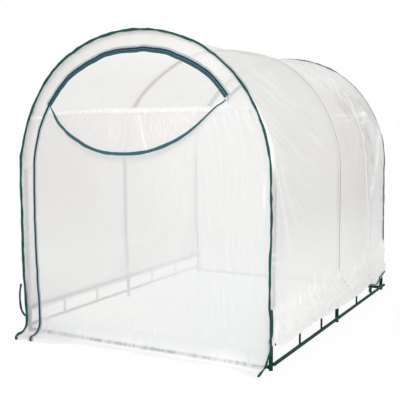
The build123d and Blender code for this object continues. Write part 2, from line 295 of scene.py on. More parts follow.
def arch_path(radius, y, foot, count):
    """Points up a left leg, over the crown and down a right leg at one y, evenly spaced, with the
    direction away from the tunnel's middle at each."""
    leg = SPRING - foot
    s = np.linspace(0, 2 * leg + math.pi * radius, count)
    turn = np.clip((s - leg) / radius, 0, math.pi)
    out = xyz(-np.cos(turn), 0, np.sin(turn))
    drop = np.minimum(s - leg, 0) + np.minimum(leg + math.pi * radius - s, 0)
    return out * radius + xyz(0, y, SPRING + drop), out


# ---- Materials -----------------------------------------------------------------------------------
def new_material(name):
    """A material without nodes, and its node tree."""
    material = bpy.data.materials.new(name)
    material.use_nodes = True
    material.node_tree.nodes.clear()
    return material, material.node_tree


def add(tree, kind, **values):
    """A shader node of a kind, with its inputs and settings given by name, or by number as in0, in1."""
    node = tree.nodes.new("Shader" + kind)
    for key, value in values.items():
        if key.startswith("in") and key[2:].isdigit():
            socket = node.inputs[int(key[2:])]
        elif key.replace("_", " ") in node.inputs:
            socket = node.inputs[key.replace("_", " ")]
        else:
            setattr(node, key, value)
            continue
        if isinstance(value, bpy.types.NodeSocket):
            tree.links.new(value, socket)
        else:
            socket.default_value = value
    return node


def math_node(tree, operation, a, b, c=None, clamp=False):
    """A number worked out from two or three others."""
    third = {} if c is None else {"in2": c}
    return add(tree, "NodeMath", operation=operation, use_clamp=clamp, in0=a, in1=b, **third).outputs[0]


def mixed_colour(tree, share, first, second):
    """A colour between two, each of them three numbers or a socket."""
    first, second = ((*colour, 1) if isinstance(colour, tuple) else colour
                     for colour in (first, second))
    return add(tree, "NodeMixRGB", Fac=share, Color1=first, Color2=second).outputs[0]


def mixed_shader(tree, share, first, second):
    """A surface between two others."""
    return add(tree, "NodeMixShader", Fac=share, in1=first.outputs[0], in2=second.outputs[0])


def sheet_level(tree, name):
    """A number that lay_sheet left on the film's vertices."""
    return add(tree, "NodeAttribute", attribute_name=name).outputs["Fac"]


WHITE_BACKED_AND_LIT = (0.965, 0.965, 0.950)                 # film with more film or the ground right behind it, and the white of painted highlights
PAINTED_SHADE_GREY = (0.42, 0.41, 0.39)                            # painted shade: the shadow along tubes and in creases and hollows, and where less light falls
THREADS = 52.0                                       # wave texture scale for threads 3 mm apart
ROUGH_SWING = 0.15                                   # how far a solid finish's roughness drifts in all


def film_material(name, opacity, tint, clear, fine, drift=0.05, glow=0.45):
    """Translucent film: part clear, part milky. The milk scatters to both sides and its amount
    drifts a little over the sheet. Doubled film is denser, and where more film or the ground lies
    right behind it, it throws back what would pass; the same whitening also paints highlights, and
    painted shade turns its colour towards grey. Fine crinkles and a crossed weave of threads 3 mm
    apart, from the UV map, dent it."""
    material, tree = new_material(name)
    coordinates = add(tree, "NodeTexCoord").outputs
    place = coordinates["Object"]
    haze = add(tree, "NodeTexNoise", Vector=place, Scale=2.6, Detail=4.0, Roughness=0.6)
    layers, backed_and_lit = sheet_level(tree, "layers"), sheet_level(tree, "backed_and_lit")
    passing = math_node(tree, "MULTIPLY_ADD", backed_and_lit, -glow, glow)
    share = math_node(tree, "MULTIPLY_ADD", haze.outputs["Fac"], -drift, 1 - opacity + drift / 2)
    more = math_node(tree, "ADD", layers, 1.0)
    left = math_node(tree, "POWER", share, more)
    milk = math_node(tree, "SUBTRACT", 1.0, left, clamp=True)
    small = add(tree, "NodeTexNoise", Vector=place, Scale=46.0, Detail=5.0, Roughness=0.62,
                Distortion=0.6)
    warp, weft = (add(tree, "NodeTexWave", Vector=coordinates["UV"], Scale=THREADS,
                      Distortion=0.5, bands_direction=way).outputs["Fac"] for way in "XY")
    weave = math_node(tree, "MAXIMUM", warp, weft)
    height = math_node(tree, "MULTIPLY_ADD", weave, 0.05, small.outputs["Fac"])
    bump = add(tree, "NodeBump", Strength=fine, Distance=0.004, Height=height)
    colour = mixed_colour(tree, haze.outputs["Fac"], *tint)
    colour = mixed_colour(tree, backed_and_lit, colour, WHITE_BACKED_AND_LIT)
    colour = mixed_colour(tree, sheet_level(tree, "shade"), colour, PAINTED_SHADE_GREY)
    body = add(tree, "NodeBsdfPrincipled", Base_Color=colour, Roughness=0.42, IOR=1.45,
               Normal=bump.outputs[0])
    through = add(tree, "NodeBsdfTranslucent", Color=colour, Normal=bump.outputs[0])
    both = mixed_shader(tree, passing, body, through)
    empty = add(tree, "NodeBsdfTransparent", Color=(*clear, 1))
    film = mixed_shader(tree, milk, empty, both)
    add(tree, "NodeOutputMaterial", Surface=film.outputs[0])
    return material


def solid_material(name, dark, light, roughness, metallic=0.0, scale=60.0, bump=0.15,
                   stretch=(1, 1, 1), gloss=0.5):
    """A solid finish whose colour and roughness drift between two values with fine noise, which also
    dents it by up to 0.6 mm."""
    material, tree = new_material(name)
    place = add(tree, "NodeTexCoord").outputs["Object"]
    placed = add(tree, "NodeMapping", Vector=place, Scale=stretch).outputs[0]
    noise = add(tree, "NodeTexNoise", Vector=placed, Scale=scale, Detail=6.0, Roughness=0.6)
    colour = mixed_colour(tree, noise.outputs["Fac"], dark, light)
    rough = math_node(tree, "MULTIPLY_ADD", noise.outputs["Fac"], ROUGH_SWING,
                      roughness - ROUGH_SWING / 2)
    dent = add(tree, "NodeBump", Strength=bump, Distance=0.0006, Height=noise.outputs["Fac"])
    body = add(tree, "NodeBsdfPrincipled", Base_Color=colour, Roughness=rough,
               Metallic=metallic, Specular_IOR_Level=gloss, Normal=dent.outputs[0])
    add(tree, "NodeOutputMaterial", Surface=body.outputs[0])
    return material


def tape_material(name, dark, light, ribs, opacity=1.0):
    """Woven tape: ribs across its length and a finer weave, from its own UV map in metres."""
    material, tree = new_material(name)
    uv = add(tree, "NodeTexCoord").outputs["UV"]
    weave = add(tree, "NodeTexWave", Vector=uv, Scale=ribs, Distortion=0.4, bands_direction="Y")
    cross = add(tree, "NodeTexWave", Vector=uv, Scale=ribs * 1.7, bands_direction="X")
    thread = math_node(tree, "MULTIPLY", weave.outputs["Fac"], cross.outputs["Fac"])
    colour = mixed_colour(tree, thread, dark, light)
    dent = add(tree, "NodeBump", Strength=0.5, Distance=0.0008, Height=thread)
    body = add(tree, "NodeBsdfPrincipled", Base_Color=colour, Roughness=0.75,
               Specular_IOR_Level=0.25, Normal=dent.outputs[0])
    if opacity < 1:
        body = mixed_shader(tree, opacity, add(tree, "NodeBsdfTransparent"), body)
    add(tree, "NodeOutputMaterial", Surface=body.outputs[0])
    return material


cover_film = film_material("cover_film", 0.86, ((0.885, 0.886, 0.872), (0.915, 0.916, 0.905)),
                           (1.0, 0.98, 0.95), 0.18, glow=0.53)
door_film = film_material("door_film", 0.71, ((0.895, 0.904, 0.910), (0.930, 0.937, 0.942)),
                          (1.0, 0.975, 0.945), 0.16)
strip_film = film_material("strip_film", 0.60, ((0.74, 0.748, 0.745), (0.88, 0.885, 0.882)),
                           (1.0, 0.97, 0.94), 0.30, drift=0.12)
flap_film = film_material("flap_film", 0.52, ((0.92, 0.925, 0.925), (0.95, 0.955, 0.955)),
                          (1.0, 0.98, 0.96), 0.2)
hoop_steel = solid_material("hoop_steel", (0.78, 0.775, 0.77), (0.89, 0.885, 0.88), 0.42,
                            metallic=0.6, scale=90.0, stretch=(1, 1, 0.3))
leg_steel = solid_material("leg_steel", (0.15, 0.15, 0.23), (0.47, 0.48, 0.58), 0.45,
                           metallic=0.4, scale=130.0, stretch=(1, 1, 0.6))
front_leg_steel = solid_material("front_leg_steel", (0.26, 0.26, 0.34), (0.58, 0.59, 0.67), 0.45,
                                 metallic=0.4, scale=130.0, stretch=(1, 1, 0.6))
# a lighter copy of the hoop steel: painted light on the rear hoop, whose shaded underside would show
# dark
rear_hoop_lightened_steel = solid_material("rear_hoop_lightened_steel", (0.88, 0.878, 0.87), (0.95, 0.948, 0.94), 0.45,
                                 metallic=0.1, scale=90.0, stretch=(1, 1, 0.3))
green_paint = solid_material("green_paint", (0.004, 0.034, 0.021), (0.008, 0.050, 0.033), 0.60,
                             scale=140.0, gloss=0.10)
piping_vinyl = solid_material("piping_vinyl", (0.006, 0.062, 0.060), (0.011, 0.086, 0.081), 0.5,
                              scale=70.0, bump=0.3, gloss=0.12)
binding_tape = tape_material("binding_tape", (0.030, 0.098, 0.120), (0.066, 0.185, 0.215), 520.0)
zip_dark = tape_material("zip_dark", (0.006, 0.031, 0.043), (0.016, 0.066, 0.086), 640.0)
zip_light = tape_material("zip_light", (0.020, 0.095, 0.125), (0.05, 0.18, 0.23), 480.0)
zip_facing = tape_material("zip_facing", (0.44, 0.51, 0.57), (0.58, 0.64, 0.69), 300.0,
                           opacity=0.75)
faint_tape = tape_material("faint_tape", (0.50, 0.54, 0.60), (0.68, 0.71, 0.76), 300.0,
                           opacity=0.32)
zip_coil = solid_material("zip_coil", (0.006, 0.022, 0.040), (0.012, 0.040, 0.064), 0.35)
slider_plate = solid_material("slider_plate", (0.42, 0.46, 0.50), (0.60, 0.64, 0.68), 0.28,
                              metallic=0.9)
tie_plastic = solid_material("tie_plastic", (0.86, 0.86, 0.85), (0.92, 0.92, 0.91), 0.4)

# ---- Frame: CAD nodes keep their shape and get their finish ---------------------------------------
for name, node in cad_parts.items():
    if "side_frame" in name or "base_rail" in name or "base_posts" in name:
        finish = green_paint
    elif name == "zip_slider":
        finish = slider_plate
    else:
        finish = hoop_steel
    for holder in node.material_slots:
        holder.material = finish

def make_hoop(place, y):
    """A hoop: one tube up the left leg, over the half-round crown and down the right leg, plain on its
    crown, lighter on the rear hoop's crown as painted light, and darker on its legs."""
    path, out = arch_path(HOOP_X, y, LEG_FOOT, 220)
    path[:, 1] += front_lean(path[:, 2]) * (place == "front")
    hoop = run(f"{place}_hoop", path, out, BACK, ring(HOOP_R, sides=20),
               rear_hoop_lightened_steel if place == "rear" else hoop_steel)
    hoop.data.materials.append(front_leg_steel if place == "front" else leg_steel)
    heights = np.array([hoop.data.vertices[face.vertices[0]].co.z for face in hoop.data.polygons])
    hoop.data.polygons.foreach_set("material_index", (heights < SPRING + 0.03).astype(int))
    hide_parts(f"{place}_hoop_crown", f"{place}_hoop_legs")


for place, y in HOOP_Y.items():
    make_hoop(place, y)

# ---- Cover ---------------------------------------------------------------------------------------
COVER_END = REAR_Y + 0.001
LEANS_BELOW, UPRIGHT_ABOVE = 0.175, 0.42             # the walls lean out to the side rails in between
CAUGHT_Y, CAUGHT_UP = -1.19, 0.19                    # where the cover is caught on the front hoop

MOST_CLEAR = -0.86                                   # the fewest layers, where the film is clearest

# Folds of the rear bay's right side, as lines between places (y, way up from the spring line), with
# their width and strength: those that stand up and catch the light, whitened as painted highlights,
# and hollows beside them, darkened as painted shade.
RAISED_FOLDS = (((1.19, 0.28), (0.89, -0.20), 0.032, 1.0), ((0.20, 0.42), (0.70, 0.43), 0.010, 0.38),
                ((0.40, 0.37), (0.70, 0.41), 0.009, 0.32), ((0.76, 0.36), (1.02, 0.38), 0.010, 0.38),
                ((0.70, 0.43), (1.07, 0.445), 0.022, 0.62), ((0.84, 0.335), (1.04, 0.50), 0.018, 0.55),
                ((0.72, 0.42), (0.76, 0.62), 0.014, 0.5), ((1.205, 0.20), (1.185, -0.25), 0.014, 0.6))
HOLLOW_FOLDS = (((0.86, 0.34), (0.93, 0.05), 0.040, 0.50), ((1.155, 0.19), (1.135, 0.06), 0.022, 0.25),
                ((0.79, 0.22), (0.81, -0.10), 0.018, 0.16))
# Patches of painted shade there: angle and y of the middle, how far each reaches, and how dark it is.
SHADED_PATCHES = ((32, 0.56, 4.5, 0.17, 0.28), (46, 0.46, 3.0, 0.14, 0.16))


def crowded(start, end, places, width, more, count):
    """Numbers from start to end, closer together near the places by the factor 1 + more."""
    fine = np.linspace(start, end, 3000)
    share = 1 + more * sum(peak(fine, place, width) for place in places)
    total = np.cumsum(share) - share[0]
    return np.interp(np.linspace(0, total[-1], count), total, fine)


def on_folds(folds, y, w):
    """How strongly each place (y, w) lies on any of the folds. A fold is full on the straight line
    from its start to its end and dies away as a bell curve over its width."""
    total = 0
    for start, end, wide, amount in folds:
        along = np.subtract(end, start)
        share = np.clip(((y - start[0]) * along[0] + (w - start[1]) * along[1]) / (along @ along), 0, 1)
        away = (y - start[0] - share * along[0]) ** 2 + (w - start[1] - share * along[1]) ** 2
        total = total + amount * np.exp(-away / wide ** 2)
    return total


def pull_fan(y, w):
    """Pulls that fan out down and back from where the cover is caught on the front hoop: how far a
    place is among them, and how near to one of their ridges, both 0 to 1."""
    turn = np.degrees(np.arctan2(CAUGHT_UP - w, y - CAUGHT_Y))
    reach = np.hypot(CAUGHT_UP - w, y - CAUGHT_Y)
    fan = within(turn, 16, 28, 76, 86) * within(reach, 0.05, 0.16, 0.42, 0.78)
    return fan, creases(turn / 90, reach, 45, 30, 2) ** 1.3


def hoop_drop(y, lines):
    """How far the film drops away beside the hoops: at once on leaving the tube, and less again
    towards mid bay. The drop is full on the bay's side of an end hoop and weak elsewhere."""
    drop = 0
    for at in lines:
        behind, before = np.maximum(y - at - 0.004, 0), np.maximum(at - y - 0.004, 0)
        weak = np.abs(at) < np.abs(y)
        crest = (1 - np.exp(-behind / 0.007)) + (1 - np.exp(-before / 0.012))
        drop = drop + np.where(weak, 0.3, 1.0) * 0.0075 * crest * peak(y, at, 0.30)
    return drop


def hem_folds(y, z, t):
    """The crumpled hem: how far a place is in it, 0 to 1 below a ragged line, and its folds, which are
    sharp creases slanting both ways with finer ones between."""
    ragged = (0.36 + 0.07 * ramp(y, 1.08, 1.2) + 0.05 * line_waves(t, 23, 26)
              + 0.04 * line_waves(t, 24, 70))
    slant = np.clip(t + (z - 0.2) * 0.55, 0, 1)
    folds = (creases(slant, z / 2, 15, 46, 14) + 0.8 * creases(1 - slant, z / 2, 16, 74, 22)
             + 0.5 * creases(slant, z, 25, 150, 60))
    return ramp(ragged - z, -0.03, 0.05), folds


def cover_grid(rows, columns):
    """The drawn film before it sags, as fields with a number for each place: s from the left hem over
    the crown to the right hem and t from front to rear, both 0 to 1, y and z, the turn round the
    crown, the angle up from the right spring line and w, the way up from it, and the slope up from
    the nearer spring line. A leg is upright and the crown is half round."""
    g = SimpleNamespace()
    leg, arc = SPRING - HEM, math.pi * FILM_R
    s_line = crowded(0, 1, (0.03, 0.97), 0.05, 0.9, rows)
    y_line = crowded(-COVER_END, COVER_END, HOOP_Y.values(), 0.035, 6.0, columns)
    g.s, g.y = np.meshgrid(s_line, y_line, indexing="ij")
    g.t = (g.y + COVER_END) / (2 * COVER_END)
    way = g.s * (2 * leg + arc)
    g.w = leg + arc - way
    g.turn = np.clip((way - leg) / FILM_R, 0, math.pi)
    g.z = SPRING + np.sin(g.turn) * FILM_R + np.minimum(way - leg, 0) + np.minimum(g.w, 0)
    g.angle = np.degrees(math.pi - g.turn)
    g.slope = np.minimum(g.angle, 180 - g.angle)
    g.high_up, g.above_hem = ramp(g.z, 0.30, 0.50), ramp(g.z, 0.30, 0.42)
    return g


def hanging(g):
    """Lift between the hoops: a sag, deepest at the crown, crests over the hoops, and small waves."""
    bay = np.minimum(np.abs(g.y) / HOOP_Y["rear"], 1)
    g.sag = 1 - (2 * bay - 1) ** 2
    depth = 0.006 + 0.004 * ramp(g.z, 0.3, 0.8) + 0.018 * ramp(g.z, 0.9, 1.9)
    g.lines = [at + front_lean(g.z) * (at < -0.1) for at in HOOP_Y.values()]
    return (-depth * g.sag - hoop_drop(g.y, g.lines)
            + 0.0075 * peak(g.y, g.lines[0], 0.010) * ramp(g.slope, 15, 35)
            + 0.0016 * g.high_up * g.sag * waves(g.s, g.t, 11, 70, 5)
            + 0.0030 * g.sag * waves(g.s, g.t, 13, 9, 7))


def front_pulls(g):
    """Lift on the front bay's right side: pulls that slant back, steeper lower down, and a fan."""
    steep = 10 + 27 * np.clip((50 - g.angle) / 17, 0, 1)
    pulled = (g.angle + steep * (g.y + 1.2)) / 180
    g.front_right = fall(g.y, -0.4, -0.05) * g.sag ** 0.3 * within(g.angle, -1, 12, 60, 100)
    g.pulls, g.fine_pulls = creases(pulled, g.t, 18, 64, 5), waves(pulled, g.t, 19, 120, 9)
    g.fan, g.fanned = pull_fan(g.y, g.w)
    return (g.front_right * (0.0085 * (g.pulls - 0.35) + 0.0036 * g.fine_pulls)
            + 0.0040 * g.fan * (g.fanned - 0.3))


def rear_folds(g):
    """Lift in the rear bay: one long upright crease with a hollow on each side, creases that slant
    both ways, and the raised folds and hollows of its right side."""
    y, w, angle = g.y, g.w, g.angle
    g.tuck = (0.72 + 0.085 * fall(w, -0.40, 0.0) + 0.12 * ramp(angle, 25, 40)
              + 0.010 * line_waves(g.s, 20, 60))
    g.near = fall(angle, 50, 66) * ramp(g.z, 0.36, 0.50)
    upright = (0.0090 * np.exp(-np.abs(y - g.tuck) / 0.014) - 0.0050 * peak(y, g.tuck - 0.085, 0.060)
               - 0.0080 * peak(y, g.tuck + 0.070, 0.050))
    g.rear_bay = ramp(y, 0.25, 0.6) * g.sag ** 0.3
    g.slant_down, g.slant_up = (angle - 55 * (y - 0.9)) / 180, (angle + 70 * (y - 0.9)) / 180
    g.rising = creases(g.slant_up, g.t, 21, 26, 4)
    slanting = 0.0095 * (g.rising - 0.3) + 0.0065 * (creases(g.slant_down, g.t, 22, 40, 5) - 0.3)
    g.raised = on_folds(RAISED_FOLDS, y, w) * (0.80 + 0.55 * waves(g.s, g.t, 46, 160, 60))
    g.dipped = on_folds(HOLLOW_FOLDS, y, w)
    return (g.near * upright + g.rear_bay * g.high_up * slanting + 0.0050 * g.raised
            - 0.016 * g.dipped)


def cover_lines(g):
    """Narrow bands that show in the film, 0 to 1: where it lies on a tube, a painted highlight
    beside one, the clear band over the front legs, the double one round the front of the crown, and
    the long crease."""
    y, z = g.y, g.z
    thick = 0.0080 + 0.0070 * ramp(z, 1.30, 1.80)
    on_tube = (sum(peak(y, at - 0.0010, thick) for at in g.lines[1:])
               + peak(y, g.lines[0] - 0.003, 0.0080) * ramp(g.slope, 18, 36))
    # a painted highlight just in front of each tube
    tight = sum(peak(y, at - 0.0180, 0.0080) for at in g.lines)
    g.leg_band = fall(y, -1.217, -1.211) * within(z, 0.33, 0.38, 1.12, 1.25)
    band_end = -COVER_END + 0.010 + 0.064 * fall(z, 1.28, 1.68)
    g.front_band = ramp(band_end - y, 0.000, 0.004) * ramp(z, 1.0, 1.2) * (1 - g.leg_band)
    g.tube_line, g.tight_line = on_tube * g.above_hem, tight * g.above_hem
    g.crease_line = g.near * peak(y, g.tuck - 0.004, 0.013)


def cover_layers(g):
    """How much film there is above one thickness. Doubled hems, gathers and hard creases are denser,
    the tubes' lines and the upper front bay clearer."""
    layers = (0.9 * fall(g.z, HEM + 0.018, HEM + 0.022) + 0.7 * g.low_down * (0.4 + g.folds / 2)
              + 0.45 * fall(g.z, 0.45, 0.95) - 0.74 * g.leg_band + 0.6 * g.tight_line
              + g.crease_line * g.above_hem - 0.45 * g.tube_line * (1 - g.leg_band)
              - 0.22 * g.near * peak(g.y, g.tuck + 0.055, 0.035) + g.raised
              + 0.45 * g.fan * g.fanned + 1.2 * g.front_band
              - 0.75 * within(g.angle, 52, 76, 98, 118) * within(g.y, -1.19, -1.16, -0.10, 0.02))
    return np.maximum(layers, MOST_CLEAR)


def cover_backing_and_highlights(g):
    """How much the film is whitened: where doubled film or the ground lies right behind it, and as
    painted light on the brighter lower walls and rear roof and as painted highlights on creases,
    raised folds, streaks and beside the tubes.
    """
    return (g.low_down * (0.60 + 0.35 * g.folds) + g.front_band
            + (0.92 * fall(g.z, 0.46, 0.92) + 0.9 * g.crease_line + 1.2 * g.raised
               + 0.75 * g.fan * g.fanned + 0.9 * g.tight_line
               + 0.45 * g.front_right * g.pulls ** 2 * g.above_hem
               + 0.60 * ramp(g.y, 0.08, 0.25) * within(g.angle, 36, 50, 80, 95))
            * (1 - g.leg_band) * (1 - g.tube_line))


def cover_shade(g):
    """Painted shade on the film: a shadow line along the tubes, shade in the hollows of the folds,
    between streaks and in patches, and darker areas that tone down how light falls on the walls and
    the front foot, but none on the crests that catch the light."""
    y, z, w, angle = g.y, g.z, g.w, g.angle
    patches = waves(g.slant_up, g.t, 27, 16, 9) + 0.5 * waves(g.slant_down, g.t, 28, 34, 14)
    hollows = g.dipped + sum(darkness * peak(angle, around, wide) * peak(y, along, long)
                             for around, along, wide, long, darkness in SHADED_PATCHES)
    shade = (0.60 * g.tube_line * (1 - g.leg_band)
             + 0.22 * fall(y, -1.226, -1.216) * fall(z, 0.34, 0.42)
             + 0.10 * peak(y, 1.195, 0.008) * g.above_hem
             + 0.035 * g.front_right * ramp(g.fine_pulls, -0.1, 0.7)
             + 0.06 * g.fan * (1 - g.fanned) ** 2
             + 0.10 * g.near * peak(y, g.tuck + 0.060, 0.045)
             + 0.17 * g.rear_bay * ramp(z, 1.15, 1.50) * fall(angle, 60, 95) * ramp(patches, 0.0, 0.8)
             + 0.06 * g.rear_bay * fall(angle, 35, 60) * (1 - g.rising)
             + hollows * (0.65 + 0.5 * waves(g.slant_up, g.t, 29, 40, 22))
             + ramp(y, 0.01, 0.04) * (0.07 * within(w, -0.45, -0.10, 0.60, 0.95)
                                      + 0.08 * fall(y, 0.20, 0.45) * within(w, 0.02, 0.15, 0.55, 0.85))
             + 0.065 * ramp(y, 0.05, 0.30) * fall(angle, 25, 50) * ramp(z, 0.35, 0.60)
             + 0.10 * peak(z, 1.25, 0.40) * fall(angle, 45, 75)
             + 0.07 * ramp(angle, 105, 140) * ramp(z, 0.5, 1.1))
    crests = np.clip(g.crease_line + g.raised + 0.6 * g.fan * g.fanned, 0, 1)
    return shade * (1 - crests) * (1 - 0.45 * ramp(y, 0.90, 1.05) * fall(w, 0.30, 0.50))


def cover_points(rows, columns):
    """The cover's places, and its film's layers, its whitening by what lies behind it and by painted
    highlights, and its painted shade. A place is its drawn one plus its lift, which is outwards, and on
    the walls a lean to the side rails that the end hoops hold back."""
    g = cover_grid(rows, columns)
    y, z = g.y, g.z
    from_end = COVER_END - np.abs(y)
    lift = hanging(g) + front_pulls(g) + rear_folds(g)
    lift += 0.0030 * (creases(g.s, g.t, 14, 95, 3) - 0.3) * peak(from_end, 0, 0.16) * g.high_up
    off_rear = 0.0050 * within(g.angle, 4, 16, 54, 66) + 0.0090 * ramp(g.angle, 78, 90)
    lift += off_rear * ramp(y, 1.08, 1.20)
    g.low_down, g.folds = hem_folds(y, z, g.t)
    lift += 0.0080 * g.low_down * g.folds * (1 - 0.45 * ramp(y, 1.10, 1.22))
    lift += 0.010 * ramp(y, 1.14, 1.225) * within(z, 0.2, 0.3, 0.40, 0.46)
    lift = np.where(z < 0.2, np.maximum(lift, 0.0005), lift)
    lean = (WALL_FOOT - FILM_R) * fall(z, LEANS_BELOW, UPRIGHT_ABOVE)
    lean = lean * ramp(from_end / (0.014 + 0.10 * ramp(z, 0.18, 0.34)), 0, 1)
    hem = (0.022 * fall(from_end, 0.02, 0.10) + 0.020 * peak(y, 1.21, 0.04)
           + 0.013 * waves(g.s, g.t, 17, 2, 9) * ramp(from_end, 0.03, 0.20)
           + 0.004 * waves(g.s, g.t, 26, 2, 40) * ramp(from_end, 0.05, 0.15))
    cover_lines(g)
    return (xyz(-np.cos(g.turn) * (FILM_R + lean + lift), y,
                z + lift * np.sin(g.turn) + hem * fall(z, HEM, 0.32)),
            cover_layers(g), cover_backing_and_highlights(g), cover_shade(g))


points, layers, backed_and_lit, shade = cover_points(rows=378, columns=262)
cover = lay_sheet("cover", points, cover_film, layers, backed_and_lit, shade)
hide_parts("cover_left_wall", "cover_right_wall", *[f"cover_roof_{i}" for i in range(1, 7)])


# ---- End panels: their feet turn out as skirts -----------------------------------------------------
def skirt_reach(x, end):
    """How far a skirt lies out from its panel. The front one reaches furthest at its left corner, less
    at its right one, and least between; the rear one is tucked in at its right corner."""
    front = (0.080 + 0.108 * fall(x, -0.80, -0.28) + 0.062 * ramp(x, 0.70, 0.90)
             - 0.022 * peak(x, 0.62, 0.10) + 0.006 * np.sin(19 * x))
    rear = 0.112 - 0.072 * ramp(x, 0.50, 0.85) + 0.008 * np.sin(15 * x)
    return front if end == FRONT else rear


def foot_bend(x, end):
    """Radius of the bend between a panel and its skirt, wide at the corners of the front one."""
    front = 0.034 + 0.050 * fall(x, -0.82, -0.40) + 0.032 * ramp(x, 0.60, 0.88)
    return front if end == FRONT else 0.032 + 0 * x


FOOT_ROWS = 44                                       # rows of a front sheet's grid below FOOT_TOP


def panel_place(x, z, share, out, end):
    """Places on an end panel. Above FOOT_TOP share is 0 and z is the height. Below, share goes from 0
    to 1 along the film: straight down, round a quarter bend, then out along the ground, where the
    corners are drawn inwards. out is the distance off the surface, away from the tunnel."""
    bend, reach = foot_bend(x, end), skirt_reach(x, end)
    straight, quarter = FOOT_TOP - bend, bend * math.pi / 2
    flat = np.maximum(reach - bend, 0.004)
    way = share * (straight + quarter + flat)
    turn = np.clip((way - straight) / bend, 0, math.pi / 2)
    lying = np.maximum(way - straight - quarter, 0)
    drawn = 0.075 * fall(x, -0.85, -0.3) if end == FRONT else -0.100 * ramp(x, 0.45, 0.85)
    away = bend * (1 - np.cos(turn)) + lying + out * np.cos(turn)
    off_ground = 0.0015 * (share > 0) * ramp(way, 0, straight)
    return (x + drawn * (lying / flat) ** 1.4, end * (REAR_Y + away),
            z - np.minimum(way, straight) - bend * np.sin(turn) + out * np.sin(turn) + off_ground)


def with_foot(low_rows, z_rows):
    """Heights and foot shares for a grid's rows: the foot from its edge up, then the given heights."""
    share = np.concatenate([np.linspace(1, 0, low_rows, endpoint=False), 0 * z_rows])
    return share[:, None], np.concatenate([np.full(low_rows, FOOT_TOP), z_rows])[:, None]


def arc_edge(radius, z):
    """Half width of a leg and half-round crown at a height."""
    return np.sqrt(np.maximum(radius ** 2 - np.maximum(z - SPRING, 0) ** 2, 0))


def foot_creases(across, rise, share, seed):
    """Height of the small creases at a panel's foot and on its skirt, up to about 6 mm."""
    low = creases(across + 0.05 * rise, rise, seed, 34, 12) * fall(rise, 0.04, 0.30)
    lying = 0.5 * (1 + waves(across, rise, seed + 1, 60, 30)) * ramp(share, 0.5, 0.9)
    return 0.0055 * low * fall(share, 0.5, 0.9) + 0.0035 * lying


def seam_drop(x):
    """How far the welded seam hangs below level at its left end."""
    return 0.010 * fall(x, -0.60, -0.25)


def rail_contact(x, z):
    """How far a panel's foot lies against the rail behind it, 0 to 1: between the rail's edges, in
    broken patches where the creased film touches."""
    u = (x / PANEL_R + 1) / 2
    patches = 0.5 + 0.5 * line_waves(u, 38, 110) + 0.35 * line_waves(u, 39, 26)
    patches = 0.38 + 0.50 * ramp(patches + 0.8 * ramp(np.abs(x), 0.80, 0.86), 0.15, 0.95)
    top = 0.034 + 0.010 * fall(x, -0.8, -0.3)
    return patches * ramp(z, 0.009, 0.013) * ramp(top - z, 0.0, 0.005)


def door_points(rows, columns):
    """The door: from its zip on the left to the piping on the right, from the skirt's edge up to the
    welded seam, with soft upright wrinkles, gathers under the seam and creases at the foot."""
    share, z = with_foot(FOOT_ROWS, np.linspace(FOOT_TOP, SEAM, rows))
    u = np.linspace(0, 1, columns)[None, :]
    x = -arc_edge(ZIP_R, z) * (1 - u) + arc_edge(PANEL_R, z) * u
    rise = z - FOOT_TOP * share
    up = rise / SEAM
    free = np.sin(math.pi * u) ** 0.4 * ramp(z, FOOT_TOP, 0.4)
    free = free * (1 - 0.75 * ramp(z, 1.10, 1.42))
    out = 0.009 * free * (1 + waves(u, up, 31, 5, 4))
    right_side = ramp(x, 0.0, 0.6)
    tall = ramp(rise, 0.25, 0.6)
    out += 0.0018 * right_side * tall * (1 + waves(u + 0.06 * up, up, 32, 64, 7))
    out += 0.0020 * right_side * tall * creases(u + 0.03 * up, up, 36, 52, 6)
    out += 0.0014 * (0.35 + 0.65 * right_side) * (1 + waves(u, up, 33, 90, 16)) * ramp(rise, 0.1, 0.3)
    out += foot_creases(u, rise, share, 34)
    gather = ramp(z, SEAM - 0.16, SEAM) * ramp(x, 0.30, 0.62)
    pinch = within(z, SEAM - 0.20, SEAM - 0.02, SEAM - 0.02, SEAM)
    out += 0.0020 * gather * (1 + waves(u, up, 35, 130, 5))
    out += 0.0016 * pinch * creases(u, up / 3, 37, 90, 3)
    # a painted highlight by the piping, where the film is also pushed out a little
    glint = peak(x, 0.866, 0.007) * np.exp(-((z - 1.02) / 0.09) ** 4)
    out += 0.0040 * glint
    z = z - seam_drop(x) * ramp(z, 0.9, SEAM)
    x, y, z = panel_place(x, z, share, out, FRONT)
    touching = rail_contact(x, z)
    layers = (1.3 * ramp(z + seam_drop(x), SEAM - 0.012, SEAM - 0.006) + 0.4 * gather
              + 0.3 * ramp(x, -0.4, 0.5)
              + (0.15 + 0.55 * ramp(x, -0.1, 0.5)) * fall(rise, 0.45, 0.80)
              + 1.7 * fall(rise, 0.07, 0.19) + 0.6 * ramp(share, 0.93, 0.94))
    # painted shade: darker towards the left and the top, where less light falls
    shade = 0.180 * fall(x, -0.60, 0.40) * ramp(rise, 0.40, 1.10) + 0.090 * ramp(rise, 0.4, 1.0)
    return (xyz(x, y, z), layers * (1 - touching) - 0.05 * touching,
            fall(rise, 0.03, 0.13) * (1 - touching) + 0.9 * glint, shade)


points, layers, backed_and_lit, shade = door_points(rows=190, columns=300)
door = lay_sheet("door", points, door_film, layers, backed_and_lit, shade)
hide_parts("door_panel", "front_skirt")


